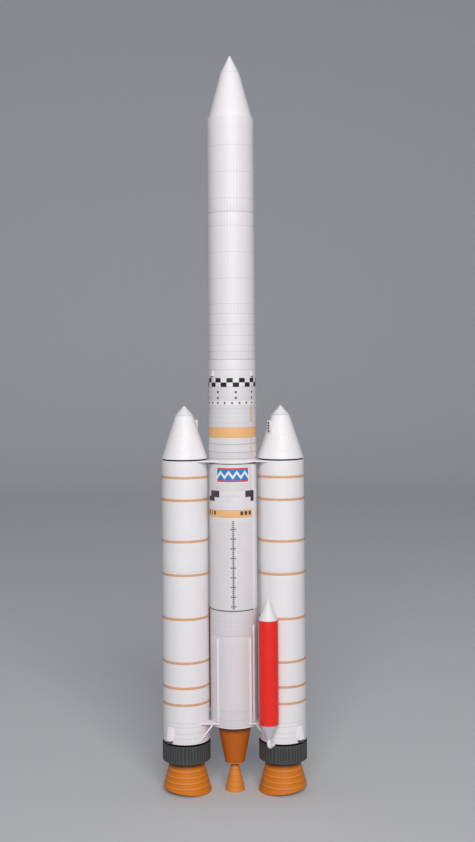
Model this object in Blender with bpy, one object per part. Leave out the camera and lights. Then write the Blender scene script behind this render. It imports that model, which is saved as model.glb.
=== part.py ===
"""Display model of a space launch rocket, built from rolled and folded card, at 1:96.

Run with: blender --background --python part.py
Metres, +Z up, +X to the right-hand booster, the photographed side faces -Y. The origin is on the
floor under the core's axis. The model has no moving pieces: it is glued together.
Every stacked or glued joint keeps a gap of GLUE_GAP, so no two solids touch.
"""

import math

import bmesh
import bpy
from mathutils import Matrix, Vector

# Sizes and places below are in millimetres and degrees. Each finished mesh is scaled to metres.
MM = 0.001

# Driving sizes of the whole model
GLUE_GAP = 0.3
CORE_RADIUS = 15.875
ADAPTER_RADIUS = 15.85
FAIRING_RADIUS = 15.65
BOOSTER_RADIUS = 15.4
BOOSTER_OFFSET = 32.0
BOOSTER_SIDES = (("right", 0), ("left", 180))

# Sides of the turned pieces, and the widest gap between corners that counts as one corner
TUBE_SIDES = 36
TANK_SIDES = 28
BRACE_SIDES = 12
HALF_ROUND_STEPS = 6
MERGE = 0.01
SHARP_ANGLE = 25

# Core sections, bottom to top: node, bottom height, top height, bottom radius, top radius, card
CORE_SECTIONS = (
    ("core_tank_middle", 104.8, 182.4, CORE_RADIUS, CORE_RADIUS, "white_card"),
    ("core_mid_band", 182.4, 187.2, CORE_RADIUS, CORE_RADIUS, "orange_card"),
    ("core_tank_forward", 187.2, 217.3, CORE_RADIUS, CORE_RADIUS, "white_card"),
    ("core_collar", 217.3, 220.0, 16.05, 16.05, "white_card"),
    ("core_interstage", 220.0, 234.5, CORE_RADIUS, CORE_RADIUS, "white_card"),
    ("core_upper_band", 234.5, 241.0, CORE_RADIUS, CORE_RADIUS, "orange_card"),
    ("core_upper_stage", 241.0, 267.6, CORE_RADIUS, CORE_RADIUS, "white_card"),
    ("core_adapter", 267.6, 285.4, ADAPTER_RADIUS, ADAPTER_RADIUS, "white_card"),
    ("core_fairing_lower", 285.4, 382.2, FAIRING_RADIUS, FAIRING_RADIUS, "white_card"),
    ("core_fairing_upper", 382.2, 444.8, FAIRING_RADIUS, FAIRING_RADIUS, "white_card"),
    ("core_nose_cone", 444.8, 475.6, 14.85, 6.37, "white_card"),
    ("core_nose_tip", 475.6, 487.3, 6.37, 0.4, "white_card"),
)

# Aft tank of the core and its recessed closing disc
CORE_BASE_HEIGHT = 44.7
CORE_BASE_RECESS = 1.2
CORE_WALL = 1.0
CORE_TANK_AFT_TOP = 104.8

# Engine shroud under the core and the single nozzle that stands in it
SHROUD_BOTTOM = 18.7
SHROUD_BOTTOM_RADIUS = 6.5
SHROUD_TOP_RADIUS = 11.8
SHROUD_RECESS = 2.5
SHROUD_WALL = 0.7
CORE_NOZZLE_RADIUS = 6.5
CORE_NOZZLE_SLOPE = 0.235
CORE_NOZZLE_WALL = 0.7
CORE_NOZZLE_CEILING = 13.0
CORE_NOZZLE_LAPS = (14.4, 10.6, 7.0, 3.5)
CORE_NOZZLE_LAP_STAND = 0.12

# Wedges round the adapter: they stand out at the bottom
ADAPTER_WEDGE_AZIMUTHS = (54, 126, 234, 306)
ADAPTER_WEDGE_BOTTOM = 274.3
ADAPTER_WEDGE_TOP = 278.3
ADAPTER_WEDGE_WIDTH = 2.2
ADAPTER_WEDGE_FOOT = 1.0
ADAPTER_WEDGE_HEAD = 0.1
ADAPTER_WEDGE_ROOT = 1.0

# Half-round conduits up the aft tank, and two longer feed lines beside them, which belong to the tubes
CONDUIT_AZIMUTHS = (("front_right", 42), ("back_right", 138), ("back_left", 222), ("front_left", 318))
CONDUIT_BOTTOM = 48.2
CONDUIT_TOP = 102.8
CONDUIT_WIDTH = 1.3
CONDUIT_DEPTH = 0.7
FEED_LINE_AZIMUTHS = (53.5, 233.5)
FEED_LINE_TOP = 111.5
FEED_LINE_ROOT = 0.8

# The two flat raceways up the middle of the core
RACEWAY_AZIMUTHS = (("right", 60), ("left", 240))
RACEWAY_BOTTOM = 121.5
RACEWAY_TOP = 216.6
RACEWAY_WIDTH = 4.0
RACEWAY_DEPTH = 0.8

# Booster motor case: two rolled tubes with thin orange strips round them
CASE_BOTTOM = 34.3
CASE_JOINT = 146.4
CASE_TOP = 219.2
CASE_STRIP_HEIGHTS = {
    "left": (60.1, 71.2, 87.5, 116.1, 144.8, 166.7, 193.6, 208.5),
    "right": (60.9, 71.5, 87.9, 116.1, 145.1, 166.7, 193.9, 208.5),
}
CASE_STRIP_WIDTH = 1.6
CASE_STRIP_STAND = 0.1

# Booster nose, with a recessed black neck under it, and the box on its slope
NOSE_BASE = 220.2
NOSE_NECK_RADIUS = 14.6
NOSE_JOINT = 248.9
NOSE_JOINT_RADIUS = 5.85
NOSE_TIP = 254.9
NOSE_TIP_RADIUS = 0.4
NOSE_BOX_AZIMUTH = -47
NOSE_BOX_REACH = 10.6
NOSE_BOX_TOE_REACH = 10.2
NOSE_BOX_WIDTH = 3.6
NOSE_BOX_TOP = 245.2
NOSE_BOX_TOE = 0.4
NOSE_BOX_GAP = 0.35

# Ribbed grey skirt at the booster's foot, hung on a recessed black neck
SKIRT_BOTTOM = 21.4
SKIRT_TOP = 33.2
SKIRT_RADIUS = 15.9
SKIRT_NECK_RADIUS = 14.8
SKIRT_WALL = 1.2
SKIRT_RECESS = 3.2

# Booster nozzle: a lapped cone cut off at a slant, low towards the core
NOZZLE_RADIUS = 16.45
NOZZLE_SLOPE = 0.275
NOZZLE_WALL = 0.8
NOZZLE_CEILING = 18.0
NOZZLE_LAPS = (15.5, 11.8, 8.4, 5.0)
NOZZLE_LAP_STAND = 0.25
NOZZLE_RISE = 3.6

# Hold-down wedges low on the booster, on its outer side
HEEL_AZIMUTHS = (("front", 43.5), ("back", 140))
HEEL_BOTTOM = 35.0
HEEL_TOP = 45.0
HEEL_WIDTH = 3.7
HEEL_TOP_DEPTH = 0.4
HEEL_FOOT_DEPTH = 2.2

# Small tank beside each booster, with a cone at each end and a bent pipe below
TANK_AZIMUTH = -26
TANK_RADIUS = 6.4
TANK_STAND_OFF = BOOSTER_RADIUS + CASE_STRIP_STAND + GLUE_GAP + TANK_RADIUS
TANK_TIP_RADIUS = 0.3
TANK_CONE_RADIUS = 6.2
TANK_TIP = 130.6
TANK_TOP = 116.8
TANK_BOTTOM = 49.4
TANK_TAIL = 39.6
TANK_TAIL_RADIUS = 1.7
PIPE_RADIUS = 1.45
PIPE_HEIGHT = 34.2
PIPE_BEND = 2.4
PIPE_BEND_STEPS = 6
PIPE_BEVEL = 3

# Flat tie plates that join the boosters to the core, and the braces under the lower ones
TIE_HEIGHTS = (("forward", 218.3), ("aft", 46.8))
TIE_ENDS = (("front", -1), ("back", 1))
TIE_THICKNESS = 0.9
TIE_EDGE = 12.8
TIE_TIP = 4.6
TIE_STEPS = 8
BRACE_RADIUS = 0.6
BRACE_HEAD_X = 14.6
BRACE_HEAD_Y = 12.3
BRACE_FOOT_X = 22.8
BRACE_FOOT_HEIGHT = 36.1

# Card and paint: name, linear red, green, blue, roughness
CARDS = (
    ("white_card", 0.80, 0.80, 0.77, 0.55),
    ("orange_card", 0.80, 0.37, 0.10, 0.6),
    ("red_card", 0.72, 0.04, 0.035, 0.45),
    ("brown_card", 0.42, 0.17, 0.05, 0.6),
    ("grey_card", 0.065, 0.075, 0.07, 0.65),
)


def clear_scene():
    """Removes whatever the opened file holds."""
    for old in list(bpy.data.objects):
        bpy.data.objects.remove(old, do_unlink=True)


def card_material(node, card):
    """The node's own material, from the table of cards."""
    red, green, blue, roughness = next(row[1:] for row in CARDS if row[0] == card)
    made = bpy.data.materials.new(node + "_" + card)
    made.use_nodes = True
    made.diffuse_color = (red, green, blue, 1.0)
    shader = made.node_tree.nodes["Principled BSDF"]
    shader.inputs["Base Color"].default_value = (red, green, blue, 1.0)
    shader.inputs["Roughness"].default_value = roughness
    shader.inputs["Metallic"].default_value = 0.0
    return made


def finished_mesh(name, shape):
    """Turns a bmesh into a mesh in metres, with merged doubles and faces pointing out."""
    bmesh.ops.remove_doubles(shape, verts=shape.verts, dist=MERGE)
    bmesh.ops.recalc_face_normals(shape, faces=shape.faces)
    bmesh.ops.scale(shape, vec=(MM, MM, MM), verts=shape.verts)
    mesh = bpy.data.meshes.new(name)
    shape.to_mesh(mesh)
    shape.free()
    return mesh


def add_piece(node, shape, card, place):
    """Links a bmesh as one named piece of the model, where the matrix puts it."""
    mesh = finished_mesh(node, shape)
    mesh.materials.append(card_material(node, card))
    mesh.shade_smooth()
    mesh.set_sharp_from_angle(angle=math.radians(SHARP_ANGLE))
    piece = bpy.data.objects.new(node, mesh)
    bpy.context.scene.collection.objects.link(piece)
    piece.matrix_world = place


def turned(profile, sides=TUBE_SIDES):
    """A solid of revolution about Z from (radius, height) points that start and end on the axis."""
    shape = bmesh.new()
    corners = [shape.verts.new((radius, 0, height)) for radius, height in profile]
    edges = [shape.edges.new(pair) for pair in zip(corners, corners[1:])]
    bmesh.ops.spin(
        shape,
        geom=corners + edges,
        cent=(0, 0, 0),
        axis=(0, 0, 1),
        angle=2 * math.pi,
        steps=sides,
        use_merge=True,
    )
    return shape


def carried(corners, way):
    """A closed outline of corners, carried along a vector into a solid."""
    shape = bmesh.new()
    face = shape.faces.new([shape.verts.new(corner) for corner in corners])
    grown = bmesh.ops.extrude_face_region(shape, geom=[face])
    moved = [item for item in grown["geom"] if isinstance(item, bmesh.types.BMVert)]
    bmesh.ops.translate(shape, verts=moved, vec=way)
    return shape


def upright(outline, base, top):
    """A flat outline of (x, y) points carried straight up from one height to another."""
    return carried([(x, y, base) for x, y in outline], (0, 0, top - base))


def fin(outline, width):
    """An upright outline of (reach, height) points, as thick as width, reaching out along -Y."""
    return carried([(-width / 2, -reach, height) for reach, height in outline], (width, 0, 0))


def moved_by(x, y, z):
    """The matrix that moves a piece by millimetres."""
    return Matrix.Translation((x * MM, y * MM, z * MM))


def facing(azimuth):
    """The matrix that turns a piece about Z from the front, -Y, towards +X."""
    return Matrix.Rotation(math.radians(azimuth), 4, "Z")


def build_core_sections():
    """The stacked tubes and cones of the core, from the table."""
    for node, bottom, top, bottom_radius, top_radius, card in CORE_SECTIONS:
        high = top - GLUE_GAP
        profile = [(0, bottom), (bottom_radius, bottom), (top_radius, high), (0, high)]
        add_piece(node, turned(profile), card, Matrix())


def build_core_tank_aft():
    """The lowest tube of the core, with its closing disc set up inside the rim."""
    disc = CORE_BASE_HEIGHT + CORE_BASE_RECESS
    high = CORE_TANK_AFT_TOP - GLUE_GAP
    profile = [
        (0, disc),
        (CORE_RADIUS - CORE_WALL, disc),
        (CORE_RADIUS - CORE_WALL, CORE_BASE_HEIGHT),
        (CORE_RADIUS, CORE_BASE_HEIGHT),
        (CORE_RADIUS, high),
        (0, high),
    ]
    add_piece("core_tank_aft", turned(profile), "white_card", Matrix())


def join_relief(node, name, shape, turn):
    """Joins a shape to a piece, through a hidden guide and a union."""
    guide = bpy.data.objects.new(name, finished_mesh(name, shape))
    bpy.context.scene.collection.objects.link(guide)
    guide.matrix_world = turn
    guide.hide_render = True
    guide.display_type = "WIRE"
    union = bpy.data.objects[node].modifiers.new(name, "BOOLEAN")
    union.operation = "UNION"
    union.object = guide


def add_adapter_wedges():
    """Joins the four small wedges to the adapter, sunk a little into its wall."""
    inner = ADAPTER_RADIUS - ADAPTER_WEDGE_ROOT
    outline = [
        (inner, ADAPTER_WEDGE_BOTTOM),
        (ADAPTER_RADIUS + ADAPTER_WEDGE_FOOT, ADAPTER_WEDGE_BOTTOM),
        (ADAPTER_RADIUS + ADAPTER_WEDGE_HEAD, ADAPTER_WEDGE_TOP),
        (inner, ADAPTER_WEDGE_TOP),
    ]
    for azimuth in ADAPTER_WEDGE_AZIMUTHS:
        name = "adapter_wedge_" + str(azimuth)
        join_relief("core_adapter", name, fin(outline, ADAPTER_WEDGE_WIDTH), facing(azimuth))


def half_round(near, root):
    """A conduit's cut at a reach from the core's axis, with its flat side sunk by root."""
    angles = [math.pi * step / HALF_ROUND_STEPS for step in range(HALF_ROUND_STEPS + 1)]
    arc = [(CONDUIT_WIDTH / 2 * math.cos(a), -near - CONDUIT_DEPTH * math.sin(a)) for a in angles]
    if root:
        arc += [(-CONDUIT_WIDTH / 2, root - near), (CONDUIT_WIDTH / 2, root - near)]
    return arc


def add_feed_lines():
    """Joins the two feed lines to the tubes they run on, sunk a little into their walls."""
    section = half_round(CORE_RADIUS + GLUE_GAP, FEED_LINE_ROOT)
    joint = CORE_TANK_AFT_TOP
    for azimuth in FEED_LINE_AZIMUTHS:
        for node, low, high in (
            ("core_tank_aft", CONDUIT_BOTTOM, joint - GLUE_GAP),
            ("core_tank_middle", joint, FEED_LINE_TOP),
        ):
            name = node + "_feed_line_" + str(int(azimuth))
            join_relief(node, name, upright(section, low, high), facing(azimuth))


def build_engine_shroud():
    """The single cone under the core, shallowly recessed round the nozzle's throat."""
    top = CORE_BASE_HEIGHT + CORE_BASE_RECESS - GLUE_GAP
    ceiling = SHROUD_BOTTOM + SHROUD_RECESS
    slope = (SHROUD_TOP_RADIUS - SHROUD_BOTTOM_RADIUS) / (top - SHROUD_BOTTOM)
    inner = SHROUD_BOTTOM_RADIUS - SHROUD_WALL
    profile = [
        (0, ceiling),
        (inner + SHROUD_RECESS * slope, ceiling),
        (inner, SHROUD_BOTTOM),
        (SHROUD_BOTTOM_RADIUS, SHROUD_BOTTOM),
        (SHROUD_TOP_RADIUS, top),
        (0, top),
    ]
    add_piece("core_engine_shroud", turned(profile), "brown_card", Matrix())


def bell_profile(rim_radius, slope, laps, lap_stand, top, wall, ceiling):
    """A bell from its top down the lapped outside to the rim, and up inside to a flat ceiling."""
    profile = [(0, top), (rim_radius - slope * top, top)]
    for height in laps:
        radius = rim_radius - slope * height
        profile.append((radius + lap_stand, height))
        profile.append((radius, height))
    inner = rim_radius - wall
    profile += [(rim_radius, 0), (inner, 0), (inner - slope * ceiling, ceiling), (0, ceiling)]
    return profile


def build_core_nozzle():
    """The core's nozzle, which stands on the floor."""
    profile = bell_profile(
        CORE_NOZZLE_RADIUS,
        CORE_NOZZLE_SLOPE,
        CORE_NOZZLE_LAPS,
        CORE_NOZZLE_LAP_STAND,
        SHROUD_BOTTOM + SHROUD_RECESS - GLUE_GAP,
        CORE_NOZZLE_WALL,
        CORE_NOZZLE_CEILING,
    )
    add_piece("core_nozzle", turned(profile), "orange_card", Matrix())


def build_conduits():
    """The four half-round conduits up the aft tank."""
    section = half_round(CORE_RADIUS + GLUE_GAP, 0)
    for place, azimuth in CONDUIT_AZIMUTHS:
        shape = upright(section, CONDUIT_BOTTOM, CONDUIT_TOP)
        add_piece("core_conduit_" + place, shape, "white_card", facing(azimuth))


def build_raceways():
    """The two flat raceways up the middle of the core, with chamfered edges."""
    near = CORE_RADIUS + GLUE_GAP
    far = near + RACEWAY_DEPTH
    half = RACEWAY_WIDTH / 2
    chamfer = RACEWAY_DEPTH / 2
    right = [(half, -near), (half, chamfer - far), (half - chamfer, -far)]
    left = [(-x, y) for x, y in reversed(right)]
    for place, azimuth in RACEWAY_AZIMUTHS:
        shape = upright(right + left, RACEWAY_BOTTOM, RACEWAY_TOP)
        add_piece("core_raceway_" + place, shape, "white_card", facing(azimuth))


def case_profile(low, high, strips):
    """A motor tube between two heights, with the strips that fall on it."""
    proud = BOOSTER_RADIUS + CASE_STRIP_STAND
    profile = [(0, low), (BOOSTER_RADIUS, low)]
    for centre in strips:
        bottom = centre - CASE_STRIP_WIDTH / 2
        top = centre + CASE_STRIP_WIDTH / 2
        if low < bottom and top < high:
            profile += [(BOOSTER_RADIUS, bottom), (proud, bottom), (proud, top), (BOOSTER_RADIUS, top)]
    return profile + [(BOOSTER_RADIUS, high), (0, high)]


def nose_profile():
    """The booster's nose cone, down to the recessed neck that stands on the case."""
    neck = CASE_TOP + GLUE_GAP
    joint = NOSE_JOINT - GLUE_GAP
    return [
        (0, neck),
        (NOSE_NECK_RADIUS, neck),
        (NOSE_NECK_RADIUS, NOSE_BASE),
        (BOOSTER_RADIUS, NOSE_BASE),
        (NOSE_JOINT_RADIUS, joint),
        (0, joint),
    ]


def skirt_profile():
    """The booster's skirt: an open rim below, and a recessed neck up to the case."""
    ceiling = SKIRT_BOTTOM + SKIRT_RECESS
    neck = CASE_BOTTOM - GLUE_GAP
    return [
        (0, ceiling),
        (SKIRT_RADIUS - SKIRT_WALL, ceiling),
        (SKIRT_RADIUS - SKIRT_WALL, SKIRT_BOTTOM),
        (SKIRT_RADIUS, SKIRT_BOTTOM),
        (SKIRT_RADIUS, SKIRT_TOP),
        (SKIRT_NECK_RADIUS, SKIRT_TOP),
        (SKIRT_NECK_RADIUS, neck),
        (0, neck),
    ]


def build_booster_stack(booster, place, strips):
    """The turned pieces of one booster above its nozzle."""
    tip = [(0, NOSE_JOINT), (NOSE_JOINT_RADIUS, NOSE_JOINT), (NOSE_TIP_RADIUS, NOSE_TIP), (0, NOSE_TIP)]
    stack = (
        ("_nose_tip", tip, "white_card"),
        ("_nose_cone", nose_profile(), "white_card"),
        ("_case_forward", case_profile(CASE_JOINT, CASE_TOP, strips), "white_card"),
        ("_case_aft", case_profile(CASE_BOTTOM, CASE_JOINT - GLUE_GAP, strips), "white_card"),
        ("_skirt", skirt_profile(), "grey_card"),
    )
    for part, profile, card in stack:
        add_piece(booster + part, turned(profile), card, place)


def slant_rim(shape):
    """Slides a nozzle's rim points up the cone to a slanted plane, low towards the core.

    The plane rises from 0 at -X to NOZZLE_RISE at +X. With k its rise over its run, s the cone's
    slope and R the rim's radius, a rim point of radius q at azimuth a meets the plane at height
    k (R + q cos a) / (1 + k s cos a).
    """
    rise = NOZZLE_RISE / (2 * NOZZLE_RADIUS - NOZZLE_SLOPE * NOZZLE_RISE)
    for corner in shape.verts:
        if corner.co.z < MERGE:
            radius = math.hypot(corner.co.x, corner.co.y)
            across = corner.co.x / radius
            height = rise * (NOZZLE_RADIUS + radius * across) / (1 + rise * NOZZLE_SLOPE * across)
            share = 1 - NOZZLE_SLOPE * height / radius
            corner.co = Vector((corner.co.x * share, corner.co.y * share, height))


def build_booster_nozzle(booster, place):
    """The open bell at a booster's foot."""
    profile = bell_profile(
        NOZZLE_RADIUS,
        NOZZLE_SLOPE,
        NOZZLE_LAPS,
        NOZZLE_LAP_STAND,
        SKIRT_BOTTOM + SKIRT_RECESS - GLUE_GAP,
        NOZZLE_WALL,
        NOZZLE_CEILING,
    )
    shape = turned(profile)
    slant_rim(shape)
    add_piece(booster + "_nozzle", shape, "orange_card", place)


def build_nose_box(booster, place):
    """The wedge-shaped box on a booster's nose: its back follows the cone, its face is nearly upright."""
    slope = (BOOSTER_RADIUS - NOSE_JOINT_RADIUS) / (NOSE_JOINT - GLUE_GAP - NOSE_BASE)
    top_inner = BOOSTER_RADIUS + NOSE_BOX_GAP - slope * (NOSE_BOX_TOP - NOSE_BASE)
    toe_inner = NOSE_BOX_TOE_REACH - NOSE_BOX_TOE
    toe = NOSE_BASE + (BOOSTER_RADIUS + NOSE_BOX_GAP - toe_inner) / slope
    outline = [
        (top_inner, NOSE_BOX_TOP),
        (toe_inner, toe),
        (NOSE_BOX_TOE_REACH, toe),
        (NOSE_BOX_REACH, NOSE_BOX_TOP),
    ]
    turn = place @ facing(NOSE_BOX_AZIMUTH)
    add_piece(booster + "_nose_box", fin(outline, NOSE_BOX_WIDTH), "white_card", turn)


def build_heels(booster, place):
    """The two hold-down wedges low on a booster."""
    near = BOOSTER_RADIUS + GLUE_GAP
    outline = [
        (near, HEEL_BOTTOM),
        (near + HEEL_FOOT_DEPTH, HEEL_BOTTOM),
        (near + HEEL_TOP_DEPTH, HEEL_TOP),
        (near, HEEL_TOP),
    ]
    for end, azimuth in HEEL_AZIMUTHS:
        add_piece(booster + "_heel_" + end, fin(outline, HEEL_WIDTH), "white_card", place @ facing(azimuth))


def build_tank(booster, place):
    """The small tank beside a booster, with its two cones."""
    body_top = TANK_TOP - GLUE_GAP
    tail_top = TANK_BOTTOM - GLUE_GAP
    nose = [(0, TANK_TOP), (TANK_CONE_RADIUS, TANK_TOP), (TANK_TIP_RADIUS, TANK_TIP), (0, TANK_TIP)]
    body = [(0, TANK_BOTTOM), (TANK_RADIUS, TANK_BOTTOM), (TANK_RADIUS, body_top), (0, body_top)]
    tail = [(0, TANK_TAIL), (TANK_TAIL_RADIUS, TANK_TAIL), (TANK_CONE_RADIUS, tail_top), (0, tail_top)]
    stand = place @ facing(TANK_AZIMUTH) @ moved_by(0, -TANK_STAND_OFF, 0)
    for part, profile, card in (
        ("_tank_nose", nose, "white_card"),
        ("_tank_body", body, "red_card"),
        ("_tank_tail", tail, "white_card"),
    ):
        add_piece(booster + part, turned(profile, TANK_SIDES), card, stand)


def build_tank_pipe(booster, place):
    """A round pipe down from a tank's tail, through a quarter bend, to the booster's skirt."""
    route = [(TANK_STAND_OFF, TANK_TAIL - GLUE_GAP)]
    for step in range(PIPE_BEND_STEPS + 1):
        angle = math.pi / 2 * step / PIPE_BEND_STEPS
        reach = TANK_STAND_OFF - PIPE_BEND * (1 - math.cos(angle))
        route.append((reach, PIPE_HEIGHT + PIPE_BEND * (1 - math.sin(angle))))
    route.append((SKIRT_RADIUS + GLUE_GAP, PIPE_HEIGHT))
    node = booster + "_tank_pipe"
    curve = bpy.data.curves.new(node, "CURVE")
    curve.dimensions = "3D"
    curve.bevel_depth = PIPE_RADIUS * MM
    curve.bevel_resolution = PIPE_BEVEL
    curve.use_fill_caps = True
    spline = curve.splines.new("POLY")
    spline.points.add(len(route) - 1)
    for point, (reach, height) in zip(spline.points, route):
        point.co = (0, -reach * MM, height * MM, 1)
    curve.materials.append(card_material(node, "white_card"))
    piece = bpy.data.objects.new(node, curve)
    bpy.context.scene.collection.objects.link(piece)
    piece.matrix_world = place @ facing(TANK_AZIMUTH)


def build_boosters():
    """Both boosters: the left one is the right one turned half round the core."""
    for side, turn in BOOSTER_SIDES:
        booster = side + "_booster"
        place = facing(turn) @ moved_by(BOOSTER_OFFSET, 0, 0)
        build_booster_stack(booster, place, CASE_STRIP_HEIGHTS[side])
        build_booster_nozzle(booster, place)
        build_nose_box(booster, place)
        build_heels(booster, place)
        build_tank(booster, place)
        build_tank_pipe(booster, place)


def tie_outline(way):
    """A tie plate from above, at the right booster: a straight outer edge and two hollow sides."""
    core_reach = CORE_RADIUS + GLUE_GAP
    booster_reach = BOOSTER_RADIUS + CASE_STRIP_STAND + GLUE_GAP
    depths = [TIE_EDGE + (TIE_TIP - TIE_EDGE) * step / TIE_STEPS for step in range(TIE_STEPS + 1)]
    along_core = [(math.sqrt(core_reach**2 - d**2), way * d) for d in depths]
    along_booster = [(BOOSTER_OFFSET - math.sqrt(booster_reach**2 - d**2), way * d) for d in depths]
    return along_core + along_booster[::-1]


def build_ties():
    """The tie plates: forward and aft, front and back, on both boosters."""
    for side, turn in BOOSTER_SIDES:
        for level, height in TIE_HEIGHTS:
            for end, way in TIE_ENDS:
                shape = upright(tie_outline(way), height, height + TIE_THICKNESS)
                add_piece("tie_" + level + "_" + side + "_" + end, shape, "white_card", facing(turn))


def build_braces():
    """Thin rods from under each aft tie plate down to its booster."""
    reach = BOOSTER_RADIUS + GLUE_GAP + BRACE_RADIUS
    foot_y = math.sqrt(reach**2 - (BOOSTER_OFFSET - BRACE_FOOT_X) ** 2)
    for side, turn in BOOSTER_SIDES:
        for end, way in TIE_ENDS:
            head = Vector((BRACE_HEAD_X, way * BRACE_HEAD_Y, TIE_HEIGHTS[1][1] - GLUE_GAP - BRACE_RADIUS))
            foot = Vector((BRACE_FOOT_X, way * foot_y, BRACE_FOOT_HEIGHT))
            shape = bmesh.new()
            bmesh.ops.create_cone(
                shape,
                cap_ends=True,
                segments=BRACE_SIDES,
                radius1=BRACE_RADIUS,
                radius2=BRACE_RADIUS,
                depth=(head - foot).length,
            )
            lean = (head - foot).to_track_quat("Z", "Y").to_matrix().to_4x4()
            place = facing(turn) @ moved_by(*((head + foot) / 2)) @ lean
            add_piece("brace_" + side + "_" + end, shape, "white_card", place)


def main():
    clear_scene()
    build_core_sections()
    build_core_tank_aft()
    add_adapter_wedges()
    add_feed_lines()
    build_engine_shroud()
    build_core_nozzle()
    build_conduits()
    build_raceways()
    build_boosters()
    build_ties()
    build_braces()


main()
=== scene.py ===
"""Looks of a card display model of a space launch rocket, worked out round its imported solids.

Run with: blender --background --python scene.py
The file is laid out as an add-on. Each operator makes one group of pieces, and main() calls them in
order. Lengths are in millimetres and angles in degrees, unless a name or a unit says otherwise.
An azimuth is counted from the front, -Y, towards the right-hand booster, +X. Boosters are worked out
as the right-hand one, about their own axis; the left-hand one is the same, turned half round the core.
"""

import math

import bpy
import numpy as np
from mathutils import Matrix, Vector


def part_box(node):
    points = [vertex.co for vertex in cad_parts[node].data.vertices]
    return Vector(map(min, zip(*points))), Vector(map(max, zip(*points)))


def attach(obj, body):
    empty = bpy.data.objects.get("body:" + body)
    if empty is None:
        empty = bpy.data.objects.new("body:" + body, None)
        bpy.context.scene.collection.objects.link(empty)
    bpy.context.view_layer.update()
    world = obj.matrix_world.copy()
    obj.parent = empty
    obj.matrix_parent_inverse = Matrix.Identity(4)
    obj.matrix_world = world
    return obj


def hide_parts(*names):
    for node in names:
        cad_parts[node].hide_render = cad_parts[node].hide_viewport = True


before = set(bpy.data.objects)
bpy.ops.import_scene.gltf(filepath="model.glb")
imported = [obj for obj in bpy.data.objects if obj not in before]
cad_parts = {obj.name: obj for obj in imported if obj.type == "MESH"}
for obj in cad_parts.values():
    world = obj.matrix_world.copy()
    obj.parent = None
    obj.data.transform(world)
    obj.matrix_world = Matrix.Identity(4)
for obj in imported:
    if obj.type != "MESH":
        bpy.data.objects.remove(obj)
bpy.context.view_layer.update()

bl_info = {
    "name": "Card launch rocket",
    "version": (1, 0, 0),
    "blender": (4, 5, 0),
    "location": "3D View > Sidebar > Rocket",
    "description": "Makes the rolled, folded and printed card of a display model rocket",
    "category": "Add Mesh",
}

MM = 0.001
SIDES = 144
SHARP_ANGLE = 38.0

# Places that the solids share: one gap between glued pieces, and the boosters' axes
GLUE_GAP = 0.3
BOOSTER_OFFSET = 32.0
BOOSTER_TURNS = (("right_booster", 1), ("left_booster", -1))
CORE_SIDE = -90.0
BACK_SIDE = 180.0


def length(name, default, description, precision=5):
    """A property that holds a length, in metres."""
    return bpy.props.FloatProperty(
        name=name, default=default, description=description, unit="LENGTH", precision=precision
    )


def colour(name, default, description):
    """A property that holds a colour."""
    return bpy.props.FloatVectorProperty(
        name=name, default=default, description=description, subtype="COLOR", size=3
    )


class RocketSizes(bpy.types.PropertyGroup):
    """Sizes of the card itself, which all pieces share."""

    card_thickness: length("Card thickness", 0.00022, "Thickness of the card, seen where a sheet laps")
    edge_round: length("Edge rounding", 0.00016, "How far back from an edge its rounding starts")
    joint_line: length("Joint line", 0.00006, "Open line between two stacked tubes")
    out_of_round: length("Out of round", 0.00008, "How much a rolled tube is flattened on two sides")
    fold_step: length("Mesh step", 0.007, "Longest mesh edge along a straight run of a profile", 4)


class RocketInks(bpy.types.PropertyGroup):
    """Colours of the card and of the inks printed on it."""

    white: colour("White card", (0.86, 0.835, 0.855), "Bare card")
    edge: colour("Whitest card", (0.97, 0.9, 0.94), "Ties, braces, wedges and the tubes' lowest edges")
    fairing: colour("Fairing", (0.82, 0.79, 0.81), "Pale grey of the fairing")
    core: colour("Core", (0.75, 0.72, 0.745), "Pale grey of the core's tubes")
    conduit: colour("Conduits", (0.85, 0.81, 0.84), "Rods up the aft tank")
    booster_nose: colour("Booster noses", (0.91, 0.89, 0.905), "Lower cones of the boosters' noses")
    # painted shade: the cones under the side tanks are white card, greyed for the shade under the red tanks
    tail: colour("Tank tails in painted shade", (0.6, 0.585, 0.65), "Cones under the side tanks")
    line: colour("Panel line", (0.3, 0.27, 0.3), "Grey of the printed panel lines")
    black: colour("Black ink", (0.022, 0.017, 0.02), "Checks, dots and shadow gaps")
    neck: colour("Black card", (0.006, 0.004, 0.005), "Necks between pieces")
    patch: colour("Patch brown", (0.042, 0.026, 0.031), "Dark patches on the forward tank")
    rivet: colour("Rivet red", (0.022, 0.008, 0.01), "Dots on the nose boxes")
    orange: colour("Band orange", (0.885, 0.5, 0.215), "Bands, and raw edges of the nozzles")
    strip: colour("Strip orange", (0.73, 0.395, 0.2), "Strips round the boosters")
    tan: colour("Cable tan", (0.8, 0.5, 0.34), "Printed cable strips")
    nozzle: colour("Nozzle orange", (0.72, 0.207, 0.015), "Boosters' nozzles")
    core_nozzle: colour("Core nozzle", (0.76, 0.265, 0.034), "The core's nozzle")
    shroud: colour("Shroud brown", (0.54, 0.128, 0.01), "Engine shroud")
    skirt: colour("Skirt grey", (0.056, 0.058, 0.057), "Ribbed skirts")
    # painted highlight on the skirts' rib crests and painted shade in their grooves
    crest: colour("Rib crests", (0.082, 0.085, 0.085), "Painted highlight on the skirts' rib crests")
    groove: colour("Rib grooves", (0.02, 0.021, 0.021), "Painted shade between the skirts' ribs")
    skirt_foot: colour("Skirt foot", (0.14, 0.13, 0.12), "Raw lower edge of the skirts")
    red: colour("Tank red", (0.9, 0.022, 0.013), "Side tanks and the panel's edges")
    blue: colour("Panel blue", (0.03, 0.22, 0.58), "Ground of the front panel")
    floor: colour("Floor", (0.745, 0.76, 0.785), "Paper of the floor")


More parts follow.
